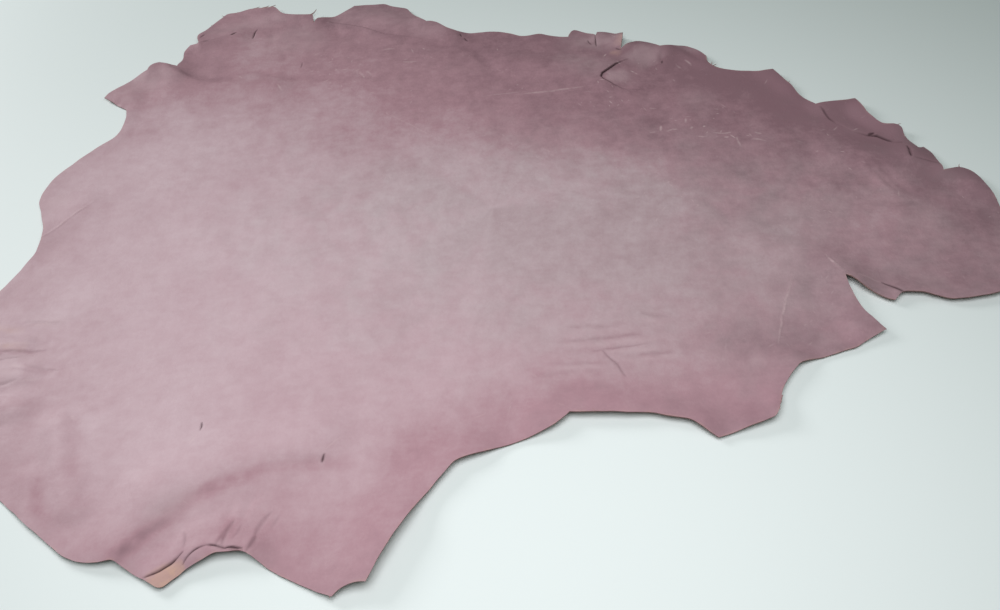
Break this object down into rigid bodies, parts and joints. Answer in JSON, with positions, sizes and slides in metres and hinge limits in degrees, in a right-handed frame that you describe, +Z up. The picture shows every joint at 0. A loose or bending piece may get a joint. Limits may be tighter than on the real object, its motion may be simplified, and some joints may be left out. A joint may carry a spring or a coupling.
{
  "type": "leather hide",
  "caption": "Small tanned hide lying open as one sheet, with a hand-trimmed outline of bays and tips, low soft folds, curled flaps and edges that stand a little off the surface.",
  "frame": {"origin": "middle of the outline's box, on the surface that the hide lies on", "axes": "+X from the rump to the neck, along the hide's length; +Y from the near flank to the far flank; +Z up, grain side up"},
  "size_m": [1.1727, 0.9353, 0.0142],
  "materials": {
    "grain_leather": "matt waxed full grain, dusty mauve pink, with paler scars and tan at the cut edge"
  },
  "bodies": {
    "root": {"hide": "grain_leather"}
  },
  "joints": []
}
